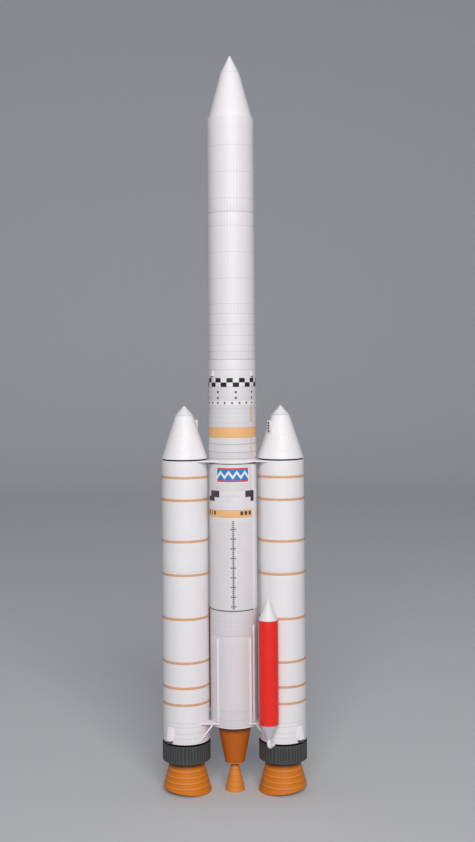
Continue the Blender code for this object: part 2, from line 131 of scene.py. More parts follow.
class RocketStudio(bpy.types.PropertyGroup):
    """The lights and the camera."""

    key_watts: bpy.props.FloatProperty(
        name="Key light", description="Large soft light in front, above", default=8.25, unit="POWER"
    )
    fill: bpy.props.FloatProperty(
        name="Fill", description="Brightness of the open top of the studio", default=0.26, min=0.0
    )
    camera_distance: length("Camera distance", 0.777, "From the core's axis", 3)
    camera_height: length("Camera height", 0.2864, "Above the floor", 4)
    lens: bpy.props.FloatProperty(name="Lens", description="Focal length in mm", default=50.0, unit="CAMERA")


def sizes():
    """The scene's card sizes, in millimetres."""
    return {key: getattr(bpy.context.scene.rocket_sizes, key) / MM for key in RocketSizes.__annotations__}


def ink(name):
    """One of the scene's inks, as a colour of four numbers."""
    return (*getattr(bpy.context.scene.rocket_inks, name), 1.0)


def node_box(node):
    """The lowest and highest corners of a solid, in millimetres."""
    low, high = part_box(node)
    return np.array(low) / MM, np.array(high) / MM


def ends(node):
    """Bottom and top of a solid."""
    low, high = node_box(node)
    return low[2], high[2]


def stack_ends(node):
    """Bottom and top of a stacked piece: its solid's, with the glue gap over it closed to a fine line."""
    bottom, top = ends(node)
    return bottom, top + GLUE_GAP - sizes()["joint_line"]


# Outlines

def soften(corners, radius, steps=3, closed=False):
    """A polyline with its corners rounded off.

    Each inner corner B becomes the quadratic curve (1-t)^2 A + 2t(1-t) B + t^2 C, where A and C lie on
    B's two edges, radius away from it or 0.45 of a shorter edge. In a closed outline all are rounded.
    """
    points = np.asarray(corners, float)
    if closed:
        points = np.vstack([points[-1:], points, points[:1]])
    edges = np.diff(points, axis=0)
    lengths = np.linalg.norm(edges[:, :2], axis=1)
    reach = np.minimum(radius, 0.45 * np.minimum(lengths[:-1], lengths[1:]))
    before = points[1:-1] - edges[:-1] * (reach / lengths[:-1])[:, None]
    after = points[1:-1] + edges[1:] * (reach / lengths[1:])[:, None]
    t = np.linspace(0, 1, steps + 1)[None, :, None]
    curves = (1 - t) ** 2 * before[:, None] + 2 * t * (1 - t) * points[1:-1, None] + t**2 * after[:, None]
    rounded = curves.reshape(-1, points.shape[1])
    return rounded if closed else np.vstack([points[:1], rounded, points[-1:]])


def spaced(points, step):
    """The same polyline with points added on its edges, so that none is longer than step."""
    lengths = np.linalg.norm(np.diff(points[:, :2], axis=0), axis=1)
    along = np.concatenate([[0], np.cumsum(lengths)])
    counts = np.maximum(np.ceil(lengths / step), 1)
    marks = np.interp(np.arange(counts.sum() + 1), np.concatenate([[0], np.cumsum(counts)]), along)
    return np.stack([np.interp(marks, along, column) for column in points.T], axis=-1)


def circle(radius, sides):
    """A closed circle of points, radius times the cosine and the sine of equal angles."""
    angles = np.arange(sides) * 2 * np.pi / sides
    return radius * np.stack([np.cos(angles), np.sin(angles)], axis=-1)


def quarter_round(x, z, radius, steps):
    """A quarter circle about (x, z), from beside it to under it: x + radius cos a, z - radius sin a."""
    angles = np.linspace(0, np.pi / 2, steps)
    return np.stack([x + radius * np.cos(angles), z - radius * np.sin(angles)], axis=-1)


def straight(start, end, steps=2):
    """A straight path of evenly spaced points."""
    return np.linspace(np.asarray(start, float), np.asarray(end, float), steps)


def placed_round(radius, azimuth, height):
    """Points from their radius, azimuth in radians and height: (r sin a, -r cos a, height)."""
    return np.stack([radius * np.sin(azimuth), -radius * np.cos(azimuth), height + 0 * azimuth], axis=-1)


# Surfaces: every shell below is a grid of points, a function of a row and a column parameter

class Shell:
    """A grid of points with its finish numbers. Its columns close on themselves."""

    def __init__(self, grid, finish=0):
        self.grid = grid
        self.finish = finish

    def polygons(self):
        """Corner numbers of each cell, and its finish. A row that lies on one point becomes that point."""
        rows, columns = self.grid.shape[:2]
        number = np.arange(rows * columns).reshape(rows, columns)
        pole = np.ptp(self.grid, axis=1).max(axis=1) < 1e-7
        number[pole] = number[pole][:, :1]
        number = np.hstack([number, number[:, :1]])
        corners = np.stack([number[:-1, :-1], number[:-1, 1:], number[1:, 1:], number[1:, :-1]], axis=-1)
        finish = np.broadcast_to(np.reshape(self.finish, (-1, 1)), corners.shape[:2])
        return corners.reshape(-1, 4), finish.reshape(-1)

    def moved(self, x=0.0, y=0.0, z=0.0):
        """The shell, shifted."""
        return Shell(self.grid + np.array([x, y, z]), self.finish)

    def turned_to(self, azimuth):
        """The shell, turned about Z from the front to an azimuth."""
        c, s = math.cos(math.radians(azimuth)), math.sin(math.radians(azimuth))
        return Shell(self.grid @ np.array([[c, s, 0], [-s, c, 0], [0, 0, 1]]), self.finish)

    def half_round(self, way):
        """The shell where it is for way 1, and turned half round the core for way -1."""
        return Shell(self.grid * (way, way, 1), self.finish)

    def facing_out(self):
        """True if its faces point outwards: the sum of the tetrahedra under its faces is positive."""
        corners = self.polygons()[0]
        a, b, c, d = self.grid.reshape(-1, 3)[corners].transpose(1, 0, 2)
        return (np.cross(a, b) * c + np.cross(a, c) * d).sum() >= 0


def mesh_object(name, shells, finishes):
    """One object from shells. Cells with two corners in one point become triangles."""
    points = np.vstack([shell.grid.reshape(-1, 3) for shell in shells])
    starts = np.cumsum([0] + [shell.grid[..., 0].size for shell in shells])
    corners, finish = [], []
    for shell, start in zip(shells, starts):
        cells, kinds = shell.polygons()
        corners.append((cells if shell.facing_out() else cells[:, ::-1]) + start)
        finish.append(kinds)
    corners, finish = np.vstack(corners), np.concatenate(finish)
    kept = corners != np.roll(corners, 1, axis=1)
    whole = kept.sum(axis=1) > 2
    kept, corners, finish = kept[whole], corners[whole], finish[whole]
    used, loops = np.unique(corners[kept], return_inverse=True)
    counts = kept.sum(axis=1)
    mesh = bpy.data.meshes.new(name)
    mesh.vertices.add(len(used))
    mesh.vertices.foreach_set("co", (points[used] * MM).astype(np.float32).ravel())
    mesh.loops.add(len(loops))
    mesh.loops.foreach_set("vertex_index", loops.astype(np.int32))
    mesh.polygons.add(len(counts))
    mesh.polygons.foreach_set("loop_start", (np.cumsum(counts) - counts).astype(np.int32))
    mesh.polygons.foreach_set("material_index", finish.astype(np.int32))
    mesh.update(calc_edges=True)
    if mesh.validate():
        raise RuntimeError("the mesh of " + name + " has faces that can't be drawn")
    for item in finishes:
        mesh.materials.append(finish_of(item))
    mesh.shade_smooth()
    mesh.set_sharp_from_angle(angle=math.radians(SHARP_ANGLE))
    made = bpy.data.objects.new(name, mesh)
    bpy.context.scene.collection.objects.link(made)
    return made


def make_piece(node, shells, finishes, form="sheet"):
    """One piece of the model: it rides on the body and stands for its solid."""
    piece = mesh_object(node + "_" + form, shells, finishes)
    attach(piece, "root")
    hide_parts(node)


def make_both(part, shells, finishes):
    """The same piece on both boosters, from shells that stand about the right booster's axis."""
    for booster, way in BOOSTER_TURNS:
        placed = [shell.moved(x=BOOSTER_OFFSET).half_round(way) for shell in shells]
        make_piece(booster + part, placed, finishes)


LAP_FADE = 8.0
LAP_END = 359.7
TWIST = 0.4


def turned(profile, sides=SIDES, seam=BACK_SIDE, lap=0.0, flat=0.0):
    """A profile of (radius, height) points turned about Z; a third column holds finish numbers.

    At d degrees past the seam a radius p becomes p - p/P (lap exp(-d/8) + flat/2 (1 - cos 2(d + t))),
    where P is the profile's largest radius and t turns slowly with height. So the sheet's end laps
    over its start in one step, and the tube is a little flat on two sides.
    """
    profile = np.asarray(profile, float)
    radius, height = profile[:, :1], profile[:, 1:2]
    past = np.arange(sides) * (360.0 / sides) if lap == 0 else np.linspace(0, LAP_END, sides)
    twist = np.radians(past[None, :] + TWIST * height)
    loss = lap * np.exp(-past / LAP_FADE)[None, :] + flat / 2 * (1 - np.cos(2 * twist))
    radius = radius * (1 - loss / radius.max())
    tags = profile[:, 2] if profile.shape[1] > 2 else np.zeros(len(profile))
    grid = placed_round(radius, np.radians(seam + past)[None, :], height)
    return Shell(grid, np.rint((tags[:-1] + tags[1:]) / 2))


def rolled(corners, seam=BACK_SIDE):
    """A sheet of card rolled to a profile: softened, spaced, and turned with a lap and a little flatness."""
    card = sizes()
    profile = spaced(soften(corners, card["edge_round"]), card["fold_step"])
    return turned(profile, SIDES, seam, card["card_thickness"], card["out_of_round"])


def rolled_cone(radii, span, seam=BACK_SIDE):
    """A closed cone, or a tube where both radii are the same, between two heights."""
    (lower, upper), (bottom, top) = radii, span
    return rolled([(0, bottom), (lower, bottom), (upper, top), (0, top)], seam)


def swept(section, path, across, ease=0.12, finish=0):
    """A closed section of (across, up) points carried along a path, with softened ends.

    A point (a, b) of the section lies at path + a A + b (T x A), where A is the across vector and T the
    path's direction. Over the last bit, ease, the section shrinks towards its middle, and a last row
    closes it there: the inset e gives 1 - e/size, at a distance that completes a quarter round.
    """
    path = np.asarray(path, float)
    steps = np.linalg.norm(np.diff(path, axis=0), axis=1)
    along = np.concatenate([[0], np.cumsum(steps)])
    inset = np.array([1e9, 1.0, 0.3, 0.0]) * ease
    gone = np.array([0.0, 0.0, 0.3, 1.0]) * ease
    inner = along[(along > ease * 1.5) & (along < along[-1] - ease * 1.5)]
    marks = np.concatenate([gone, inner, along[-1] - gone[::-1]])
    insets = np.concatenate([inset, 0 * inner, inset[::-1]])
    heading = np.gradient(path, along, axis=0)
    at = np.stack([np.interp(marks, along, column) for column in path.T], axis=-1)
    way = np.stack([np.interp(marks, along, column) for column in heading.T], axis=-1)
    up = np.cross(way / np.linalg.norm(way, axis=1)[:, None], across)
    middle = section.mean(axis=0)
    size = np.linalg.norm(section - middle, axis=1).min()
    shrink = np.clip(1 - insets / max(size, ease * 1.01), 0, 1)[:, None, None]
    shape = middle + shrink * (section - middle)[None]
    grid = at[:, None] + shape[..., :1] * np.array(across, float) + shape[..., 1:] * up[:, None]
    return Shell(grid, finish)


def fin(outline, width):
    """A wedge: an upright outline of (reach, height) points carried across its width, at the front."""
    section = soften(outline, sizes()["edge_round"], 2, closed=True)[:, ::-1]
    return swept(section, straight((-width / 2, 0, 0), (width / 2, 0, 0)), (0, 0, 1))


# Node materials

def add_node(tree, kind, inputs, **settings):
    """A shader node with its settings. Each input is linked to a field or a socket, or set to a value."""
    node = tree.nodes.new("ShaderNode" + kind)
    for key, value in settings.items():
        setattr(node, key, value)
    for key, value in inputs.items():
        value = value.socket if isinstance(value, Field) else value
        if isinstance(value, bpy.types.NodeSocket):
            tree.links.new(value, node.inputs[key])
        else:
            node.inputs[key].default_value = value
    return node


class Field:
    """A number at each point of a surface, made of Math nodes and written like plain arithmetic."""

    def __init__(self, tree, socket):
        self.tree = tree
        self.socket = socket

    def math(self, operation, *others, **settings):
        """This field through one Math node, with fields or numbers as its further inputs."""
        entries = dict(enumerate((self, *others)))
        node = add_node(self.tree, "Math", entries, operation=operation, **settings)
        return Field(self.tree, node.outputs[0])

    def __add__(self, other):
        return self.math("ADD", other)

    def __sub__(self, other):
        return self.math("SUBTRACT", other)

    def __mul__(self, other):
        return self.math("MULTIPLY", other)

    def near(self, centre, half):
        """1 where the field is within half of the centre, else 0."""
        return self.math("COMPARE", centre, half)

    def between(self, low, high):
        """1 between two limits, else 0."""
        return self.near((low + high) / 2, (high - low) / 2)

    def below(self, limit):
        """1 where the field is under a limit, else 0."""
        return self.math("LESS_THAN", limit)

    def above(self, limit):
        """1 where the field is over a limit, else 0."""
        return self.math("GREATER_THAN", limit)

    def from_line(self, pitch, line=0.0):
        """Distance to the nearest of the lines that repeat at a pitch."""
        return (self - line).math("PINGPONG", pitch / 2)


def any_of(masks):
    """The highest of several masks."""
    whole = masks[0]
    for mask in masks[1:]:
        whole = whole.math("MAXIMUM", mask)
    return whole


CARD_IOR = 1.45
ALL_HEIGHTS = (-1.0, 500.0)


class PrintedCard:
    """A node material: a card's colour, inks laid over it by masks, and the bump of its fibres.

    Its fields are x, y, z and the reach from the axis, in millimetres, and the azimuth. On a booster's
    card, axis is that booster's offset, and x, the reach and the azimuth are counted from there.
    """

    def __init__(self, name, paper, roughness=0.48, axis=0.0, shine=0.5):
        self.material = bpy.data.materials.new(name)
        self.material.use_nodes = True
        self.tree = self.material.node_tree
        self.shader = self.tree.nodes["Principled BSDF"]
        self.shader.inputs["IOR"].default_value = CARD_IOR
        self.shader.inputs["Specular IOR Level"].default_value = shine
        place = add_node(self.tree, "TexCoord", {}).outputs["Object"]
        scaled = add_node(self.tree, "VectorMath", {0: place, "Scale": 1 / MM}, operation="SCALE")
        self.millimetres = scaled.outputs[0]
        split = add_node(self.tree, "SeparateXYZ", {0: self.millimetres})
        x, self.y, self.z = (Field(self.tree, socket) for socket in split.outputs)
        self.x = x.math("ABSOLUTE") - axis if axis else x
        self.reach = (self.x * self.x + self.y * self.y).math("SQRT")
        self.azimuth = self.x.math("ARCTAN2", self.y * -1) * (180 / math.pi)
        self.colour = ink(paper)
        self.roughness = roughness
        self.gloss = None

    def patch(self, low, high, bottom=ALL_HEIGHTS[0], top=ALL_HEIGHTS[1]):
        """Mask between two azimuths and two heights, and the same half round the core."""
        from_back = (self.azimuth - 180.0).math("WRAP", -180.0, 180.0)
        sides = [azimuth.between(low, high) for azimuth in (self.azimuth, from_back)]
        return any_of(sides) * self.z.between(bottom, top)

    def dots(self, pitch, first, height, radius):
        """Mask of round dots at one height, repeated round the core at a pitch of degrees."""
        across = self.azimuth.from_line(pitch, first) * DEGREE_WIDTH
        up = self.z - height
        return (across * across + up * up).below(radius * radius)

    def noise(self, scale, detail):
        """A noise field between 0 and 1, whose grains are about 1/scale millimetres."""
        entries = {"Vector": self.millimetres, "Scale": scale, "Detail": detail}
        return Field(self.tree, add_node(self.tree, "TexNoise", entries).outputs["Fac"])

    def lay(self, mask, name, cover=1.0):
        """Prints an ink where the mask is 1."""
        mask = mask * cover if cover != 1 else mask
        mix = add_node(self.tree, "Mix", {0: mask, 6: self.colour, 7: ink(name)}, data_type="RGBA")
        self.colour = mix.outputs[2]

    def rings(self, heights, half, cover, name="line"):
        """Prints a ring round the piece at each height, twice half wide."""
        self.lay(any_of([self.z.near(height, half) for height in heights]), name, cover)

    def uprights(self, pitch, half, cover, span=ALL_HEIGHTS, first=0.0, name="line"):
        """Prints upright lines that repeat at a pitch of degrees, between two heights."""
        self.lay(self.azimuth.from_line(pitch, first).below(half) * self.z.between(*span), name, cover)

    def cable_strips(self, bottom, top, cover):
        """Prints the two upright cable strips, with darker edges."""
        self.lay(self.patch(47.2, 53.8, bottom, top), "tan", cover)
        self.lay(self.patch(52.4, 53.8, bottom, top), "shroud", 0.22 * cover)

    def paint_shadow_over_top(self, height, slope):
        """Paints shadow over a sheet's top, where it goes into the piece above: darker by the height past a
        level.
        """
        # painted shadow: black laid over the top, growing with the height above the level
        self.lay(((self.z - height).math("MAXIMUM", 0.0) * slope).math("MINIMUM", 0.9), "black")

    def glossy(self, mask, roughness):
        """Makes the surface smoother where the mask is 1."""
        change = mask * (roughness - self.roughness)
        self.gloss = change if self.gloss is None else self.gloss + change

    def done(self, uneven=0.035, fibre=0.000012, waves=0.00003):
        """Adds the sheet's unevenness and bump, links all to the shader and returns the material."""
        grain = self.noise(3.0, 4.0)
        cloud = self.noise(0.06, 2.0)
        spread = (grain + cloud - 0.7).math("MULTIPLY", 0.5, use_clamp=True)
        dull = (1 - uneven * 3, 1 - uneven * 3.2, 1 - uneven * 3, 1)
        mixed = {0: spread, 6: self.colour, 7: dull}
        uneven_ink = add_node(self.tree, "Mix", mixed, data_type="RGBA", blend_type="MULTIPLY")
        rough = grain * 0.08 + (self.roughness - 0.04)
        if self.gloss:
            rough = rough + self.gloss
        fibres = add_node(self.tree, "Bump", {"Height": grain, "Distance": fibre})
        bump = {"Height": self.noise(0.12, 1.0), "Distance": waves, "Normal": fibres.outputs[0]}
        wavy = add_node(self.tree, "Bump", bump)
        self.tree.links.new(uneven_ink.outputs[2], self.shader.inputs["Base Color"])
        self.tree.links.new(rough.socket, self.shader.inputs["Roughness"])
        self.tree.links.new(wavy.outputs[0], self.shader.inputs["Normal"])
        return self.material


# What is printed on each finish, its card and its sheet. The first ones are bare card
FINISHES = {
    "white card": (None, {"paper": "white"}, {}),
    "tie card": (None, {"paper": "edge"}, {}),
    "conduit card": (None, {"paper": "conduit", "roughness": 0.46}, {}),
    # white card greyed with painted shade, for the cones under the side tanks
    "tail card": (None, {"paper": "tail", "roughness": 0.5}, {}),
    "rim card": (None, {"paper": "orange", "roughness": 0.6}, {"uneven": 0.06}),
    "black card": (None, {"paper": "neck", "roughness": 0.8, "shine": 0.12}, {}),
    "rivet paint": (None, {"paper": "rivet", "roughness": 0.4}, {}),
    "studio paper": (
        None, {"paper": "floor", "roughness": 0.85}, {"uneven": 0.004, "fibre": 0.000004, "waves": 0.0}
    ),
}


def printed_on(paper, uneven=0.035, **card):
    """Lists the print that follows as the finish of its name, on card of that paper."""

    def listed(prints):
        FINISHES[prints.__name__.replace("_", " ")] = (prints, {"paper": paper, **card}, {"uneven": uneven})
        return prints

    return listed


def finish_of(name):
    """The material of that name, made the first time it is asked for."""
    made = bpy.data.materials.get(name)
    if made is None:
        prints, card, sheet = FINISHES[name]
        card = PrintedCard(name, **card)
        if prints:
            prints(card)
        made = card.done(**sheet)
    return made


# Printed sheets. Marks lie at heights in millimetres above the floor and at azimuths in degrees

# Heights of the fairing's rings, the width of one degree on the core's wall, and the front panel
FAIRING_LINES = (425.6, 408.3, 390.9, 373.0, 355.7, 338.5, 321.9, 315.5, 308.4, 301.2, 295.0, 290.9)
CORE_RADIUS = 15.875
DEGREE_WIDTH = math.radians(CORE_RADIUS)
PANEL_HEIGHT = 210.2
PANEL_HALF = (11.0, 4.6)


@printed_on("white")
def collar_card(card):
    """White card whose lower edge is black: a dark joint line, deepened with painted shadow of the gap under
    the collar.
    """
    # black lower edge: dark joint line with painted shadow of the gap below the collar
    card.lay(card.z.below(217.6), "black", 0.9)


@printed_on("core")
def raceway_card(card):
    """Core grey of the flat raceways, with the dark patches of the tube carried over the near edge."""
    card.lay(card.patch(45, 53.8, 192.7, 199.7), "patch", 0.97)


@printed_on("fairing", roughness=0.46)
def fairing_card(card):
    """Pale grey card with thin rings and 48 faint upright lines."""
    card.uprights(7.5, 0.55, 0.13)
    card.rings(FAIRING_LINES, 0.16, 0.3)
    card.rings((382.0, 285.7), 0.2, 0.3)


@printed_on("fairing", roughness=0.44)
def adapter_card(card):
    """Pale card with two rows of black checks, one the reverse of the other, and the wedges' black feet."""
    top = card.azimuth.from_line(30, -5.5).below(7.5) * card.z.between(270.5, 273.4)
    bottom = card.azimuth.from_line(30, 9.5).below(7.5) * card.z.between(267.6, 270.5)
    checks = any_of([top, bottom])
    card.uprights(7.5, 0.55, 0.07, (273.6, 285.4))
    card.lay(card.z.between(267.6, 273.4), "white", 0.7)
    card.rings([278.9], 0.16, 0.35)
    card.lay(checks, "black")
    card.glossy(checks, 0.36)
    card.lay(card.z.between(274.0, 274.62) * card.reach.above(ADAPTER_RADIUS + 0.07), "black")


@printed_on("core")
def upper_stage_card(card):
    """Core grey with rows of dots on a whiter stripe, thin light lines and the cable strips."""
    card.lay(card.z.between(255.8, 258.4), "white", 0.9)
    card.rings((253.6, 250.5, 247.7, 244.1), 0.15, 0.22)
    card.uprights(7.5, 0.5, 0.06, (0, 255.8))
    card.cable_strips(244.2, 255.5, 0.9)
    rows = ((45, 9, 264.2, 0.78), (45, 9, 260.4, 0.78), (18, 0, 257.1, 0.7))
    card.lay(any_of([card.dots(*row) for row in rows]), "black", 0.95)


@printed_on("orange", roughness=0.5, uneven=0.05)
def band_card(card):
    """The orange of the upper band, with faint upright joints."""
    card.uprights(60, 0.7, 0.12, name="shroud")


@printed_on("orange", roughness=0.5, uneven=0.05)
def window_band_card(card):
    """The orange of the middle band, with rows of small black windows and a white gap after each row."""
    windows = ((-73, -67), (-60.5, -57), (-51.5, -45), (18, 25.2), (29, 36.2), (40.1, 48.1))
    card.lay(any_of([card.patch(*span, 183.9, 186.4) for span in windows]), "black", 0.93)
    card.lay(card.patch(53, 68), "white")


@printed_on("core")
def interstage_card(card):
    """Core grey with dark rings, a fine grid low down and the paler end of the cable strips."""
    card.uprights(7.5, 0.6, 0.1)
    card.uprights(3.75, 0.5, 0.16, (221.0, 224.9))
    card.lay(card.z.between(220.0, 224.9) * card.z.from_line(1.3).below(0.12), "line", 0.12)
    card.rings((230.2, 224.9), 0.2, 0.75)
    card.rings([220.6], 0.2, 0.5)
    card.cable_strips(222.6, 234.5, 0.75)


@printed_on("core")
def forward_tank_card(card):
    """Core grey with a generic front panel, dark patches and a patchwork of pale squares."""
    card.uprights(15, 0.5, 0.07, first=2)
    card.rings((205.2, 199.9), 0.14, 0.1)
    whites = (
        (-34, -19, 196.5, 199.6), (-19, 31, 196.9, 199.6), (17, 31, 195.4, 199.6),
        (-49, -4, 193.0, 195.4), (-4, 47, 192.6, 195.4), (-90, 90, 187.2, 192.5),
    )
    greys = ((-19, -4, 192.7, 195.6), (-4, 10, 195.8, 199.4), (-75, -34, 200.0, 204.0))
    darks = (
        (-64, -34, 195.4, 199.7), (-75, -49, 192.7, 195.8), (31, 59, 195.5, 199.7), (47, 59, 192.7, 195.6)
    )
    for spans, name, cover in ((whites, "white", 0.42), (greys, "line", 0.06)):
        for span in spans:
            card.lay(card.patch(*span), name, cover)
    dark = any_of([card.patch(*span) for span in darks])
    card.lay(dark, "patch", 0.97)
    card.glossy(dark, 0.44)
    front_panel(card)
    # black top: dark joint line with painted shadow under the collar and the forward tie plates
    card.lay(card.z.above(216.95), "black", 0.9)


def front_panel(card):
    """Prints a plain striped panel: a blue ground, a white zigzag across it and red edges.

    Across and up are millimetres from the panel's middle. The zigzag's height is a triangle wave of
    the distance across.
    """
    across = card.azimuth * DEGREE_WIDTH
    up = card.z - PANEL_HEIGHT
    wide, tall = PANEL_HALF
    ground = across.near(0, wide) * up.near(0, tall)
    card.lay(across.near(0, wide + 0.6) * up.near(0, tall + 0.6), "white")
    card.lay(ground, "blue")
    zigzag = across.from_line(wide / 2) - wide / 8
    card.lay(ground * (up - zigzag * 1.3).near(0, 1.15), "white")
    card.lay(across.near(0, wide) * up.math("ABSOLUTE").between(tall - 0.9, tall), "red")


@printed_on("core")
def middle_tank_card(card):
    """Core grey with a plain upright scale at the front, a black foot ring and faint joints."""
    across = card.azimuth * DEGREE_WIDTH
    card.rings([180.9], 1.5, 0.25, "white")
    card.uprights(30, 0.4, 0.06, first=15)
    rail = across.near(0, 0.24)
    long_marks = card.z.from_line(6.3, 124.4).below(0.36) * across.near(0, 1.8)
    short_marks = card.z.from_line(1.26, 124.4).below(0.18) * across.near(0, 1.0)
    card.lay(any_of([rail, long_marks, short_marks]) * card.z.between(122.6, 180.6), "black", 0.85)
    card.rings([121.5], 0.36, 0.9, "black")
    card.uprights(5.625, 0.8, 0.16, (113.9, 120.4))
    card.rings((120.4, 113.9, 112.0), 0.14, 0.2)
    card.uprights(5.625, 0.8, 0.14, (104.8, 112.0))


@printed_on("core")
def aft_tank_card(card):
    """Core grey with fine upright lines low down, thin rings and a painted shadow beside each feed line."""
    card.uprights(7.5, 0.5, 0.05)
    card.uprights(3.75, 0.6, 0.16, (44.9, 56.0))
    card.rings((56.0, 50.4), 0.15, 0.25)
    card.lay(card.z.below(45.25), "edge", 0.8)
    # painted shadow beside each feed line, in panel-line grey
    card.lay(card.patch(47.2, 51.2, 48.5, 111.0), "line", 0.38)


@printed_on("white", axis=BOOSTER_OFFSET)
def booster_card(card):
    """White card with faint rings low down, a bright lower edge and a painted shadow line under each tie
    plate.

    The painted shadow line's height falls with the square of the distance towards the core.
    """
    # painted shadow of each tie plate's edge, cast on the case below it
    inward = (card.x * -1 - 8.5).math("MAXIMUM", 0.0)
    for height, fall in ((218.3, 0.12), (47.4, 0.2)):
        painted_tie_shadow = (inward * inward * fall + card.z - height).near(0, 0.22)
        card.lay(painted_tie_shadow * inward.above(0.05), "line", 0.5)
    card.lay(card.z.below(34.85), "edge", 0.8)
    card.rings((48.2, 45.6, 41.6, 38.3), 0.16, 0.3)


@printed_on("booster_nose", roughness=0.46, axis=BOOSTER_OFFSET)
def booster_nose_card(card):
    """White card with a faint oval on the front and on the back, and a ring at the top."""
    across = (card.x - 1.4).math("DIVIDE", 4.4)
    up = (card.z - 230.5).math("DIVIDE", 5.6)
    card.lay((across * across + up * up).math("SQRT").near(1.0, 0.025), "line", 0.16)
    card.rings([248.7], 0.14, 0.35)
    card.lay(card.z.below(220.05), "black")


@printed_on("edge")
def heel_card(card):
    """White card whose black foot is painted shadow under the wedge."""
    # painted shadow at the wedge's foot
    card.lay(card.z.below(36.6), "black", 0.92)


@printed_on("strip", roughness=0.5, uneven=0.06)
def strip_card(card):
    """The thin orange strips round the boosters, with uneven ink."""
    card.lay(card.noise(0.5, 2.0).between(0.6, 1.0), "white", 0.16)


@printed_on("red", roughness=0.4, uneven=0.05)
def red_card(card):
    """Red card with fine rings near both ends."""
    card.rings((115.2, 105.2, 62.0, 51.2), 0.13, 0.1, "black")


@printed_on("nozzle", roughness=0.5, shine=0.22, uneven=0.06)
def nozzle_card(card):
    """Burnt orange card: the sheets lap, and their raw edges are lighter, with a painted highlight; painted
    shadow lies under each lap and over the top, under the skirt.
    """
    # lighter raw edge of each lap, with a painted highlight
    card.rings([lap + 0.2 for lap in BOOSTER_NOZZLE["laps"]], 0.38, 0.36, "orange")
    # painted shadow just under each lap's lip
    card.rings([lap - 0.5 for lap in BOOSTER_NOZZLE["laps"]], 0.3, 0.3, "shroud")
    # painted shadow at the top, under the skirt
    card.paint_shadow_over_top(16.5, 0.33)


@printed_on("core_nozzle", roughness=0.5, shine=0.3, uneven=0.06)
def core_nozzle_card(card):
    """The lighter card of the core's nozzle, whose laps are fainter: a lighter raw edge with a painted
    highlight and a painted shadow under each lap, and painted shadow at the top, under the shroud.
    """
    # lighter raw edge of each lap, with a painted highlight
    card.rings([lap + 0.1 for lap in CORE_NOZZLE["laps"]], 0.2, 0.3, "orange")
    # painted shadow just under each lap's lip
    card.rings([lap - 0.3 for lap in CORE_NOZZLE["laps"]], 0.2, 0.4, "shroud")
    # painted shadow at the top, under the shroud
    card.paint_shadow_over_top(16.0, 0.7)


@printed_on("shroud", roughness=0.5, shine=0.3, uneven=0.06)
def shroud_card(card):
    """Brown card of the cone under the core, lighter at its lower edge, with painted shadow at its top,
    under the core's rim.
    """
    card.lay(card.z.below(19.3), "orange", 0.35)
    # painted shadow at the top, cast by the core's rim
    card.paint_shadow_over_top(39.4, 0.25)


@printed_on("skirt", roughness=0.55, axis=BOOSTER_OFFSET, uneven=0.07)
def skirt_card(card):
    """Dark grey card with uneven upright ribs, with a painted highlight on their crests and painted shade in
    their grooves.
    """
    # painted highlight on the rib crests
    card.lay(card.reach.above(SKIRT_RADIUS - 0.08), "crest", 0.6)
    # painted shade in the rib grooves
    card.lay(card.reach.below(SKIRT_RADIUS - 0.24), "groove", 0.35)
    card.lay(card.z.below(21.75), "skirt_foot", 0.4)


# Pieces of the core

CORE_TUBES = (
    ("core_tank_middle", "middle tank card", "white_card"),
    ("core_mid_band", "window band card", "orange_card"),
    ("core_tank_forward", "forward tank card", "white_card"),
    ("core_collar", "collar card", "white_card"),
    ("core_interstage", "interstage card", "white_card"),
    ("core_upper_band", "band card", "orange_card"),
    ("core_upper_stage", "upper stage card", "white_card"),
    ("core_fairing_lower", "fairing card", "white_card"),
    ("core_fairing_upper", "fairing card", "white_card"),
)
NOSE_RADII = (14.85, 6.37, 0.4)
ADAPTER_RADIUS = 15.85
ADAPTER_WEDGE_AZIMUTHS = (54, 126, 234, 306)
ADAPTER_WEDGE = ((14.9, 274.3), (16.85, 274.3), (15.95, 278.3), (14.9, 278.3))
ADAPTER_WEDGE_WIDTH = 2.2
CORE_BASE_RECESS = 1.2
CORE_WALL = 0.8

# Half-round conduits up the aft tank, and two longer feed lines, which are part of the tube
CONDUITS = (("front_right", 42), ("back_right", 138), ("back_left", 222), ("front_left", 318))
CONDUIT_WIDTH = 1.3
CONDUIT_DEPTH = 0.7
FEED_LINE_AZIMUTHS = (53.5, 233.5)
FEED_LINE_TOP = 111.5
RACEWAYS = (("right", 60), ("left", 240))
RACEWAY_WIDTH = 4.0
RACEWAY_DEPTH = 0.8
RACEWAY_BEVEL = 0.4
ROOT = 0.25


def half_round_section():
    """A conduit's cut: a half ellipse that stands off the tube by the glue gap, with its foot sunk in."""
    angles = np.linspace(0, np.pi, 13)
    arc = np.stack([CONDUIT_WIDTH / 2 * np.cos(angles), GLUE_GAP + CONDUIT_DEPTH * np.sin(angles)], axis=-1)
    return np.vstack([arc, [(-CONDUIT_WIDTH / 2, -ROOT), (CONDUIT_WIDTH / 2, -ROOT)]])


def flat_section():
    """A raceway's cut: a flat bar with bevelled outer edges, its foot sunk in."""
    half, top = RACEWAY_WIDTH / 2, GLUE_GAP + RACEWAY_DEPTH
    right = [(half, -ROOT), (half, top - RACEWAY_BEVEL), (half - RACEWAY_BEVEL, top)]
    left = [(-x, y) for x, y in reversed(right)]
    return soften(right + left, 0.15, 2, closed=True)


def rail_shell(section, azimuth, bottom, top, finish=0):
    """A section carried straight up the core's wall."""
    path = straight((0, -CORE_RADIUS, bottom), (0, -CORE_RADIUS, top), 12)
    return swept(section * (-1, 1), path, (-1, 0, 0), finish=finish).turned_to(azimuth)


